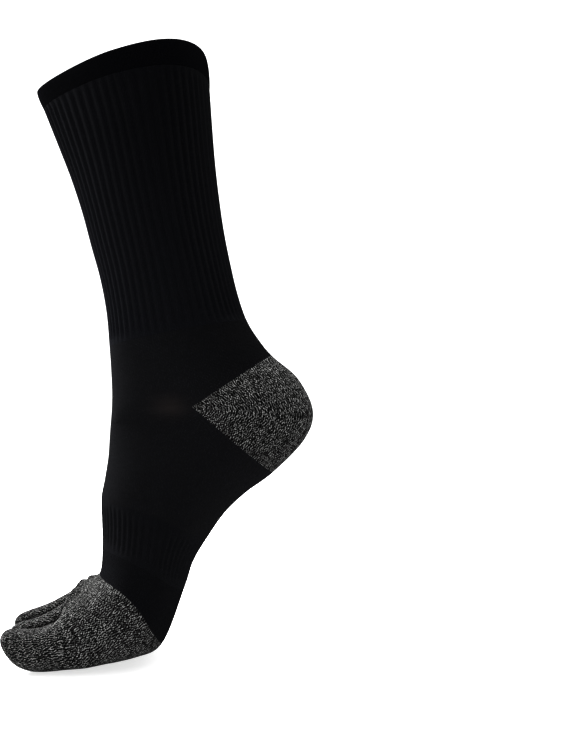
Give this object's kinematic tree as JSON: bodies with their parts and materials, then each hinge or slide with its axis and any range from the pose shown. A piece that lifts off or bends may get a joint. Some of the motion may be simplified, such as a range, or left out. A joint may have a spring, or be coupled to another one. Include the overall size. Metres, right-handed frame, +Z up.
{
  "type": "toe sock",
  "caption": "Crew-length toe sock in its worn form: black welt cuff, ribbed leg, plain ankle, grey marl heel wedge, ribbed arch band and marl forefoot with separate toe pockets.",
  "frame": {"origin": "centre of the leg opening, in the plane of the cuff's top edge", "axes": "+Z up the leg and out of the opening, -X towards the toes, +X towards the heel, -Y towards the big-toe side"},
  "size_m": [0.1862, 0.1249, 0.3729],
  "materials": {
    "black_welt_knit": "matte",
    "black_rib_knit": "matte",
    "black_plain_knit": "matte",
    "grey_marl_knit": "matte"
  },
  "bodies": {
    "root": {"cuff": "black_welt_knit", "leg": "black_rib_knit", "ankle": "black_plain_knit", "heel": "grey_marl_knit", "arch_band": "black_rib_knit", "ball_band": "black_plain_knit", "forefoot": "grey_marl_knit", "big_toe": "grey_marl_knit", "second_toe": "grey_marl_knit", "third_toe": "grey_marl_knit", "fourth_toe": "grey_marl_knit", "little_toe": "grey_marl_knit"}
  },
  "joints": []
}
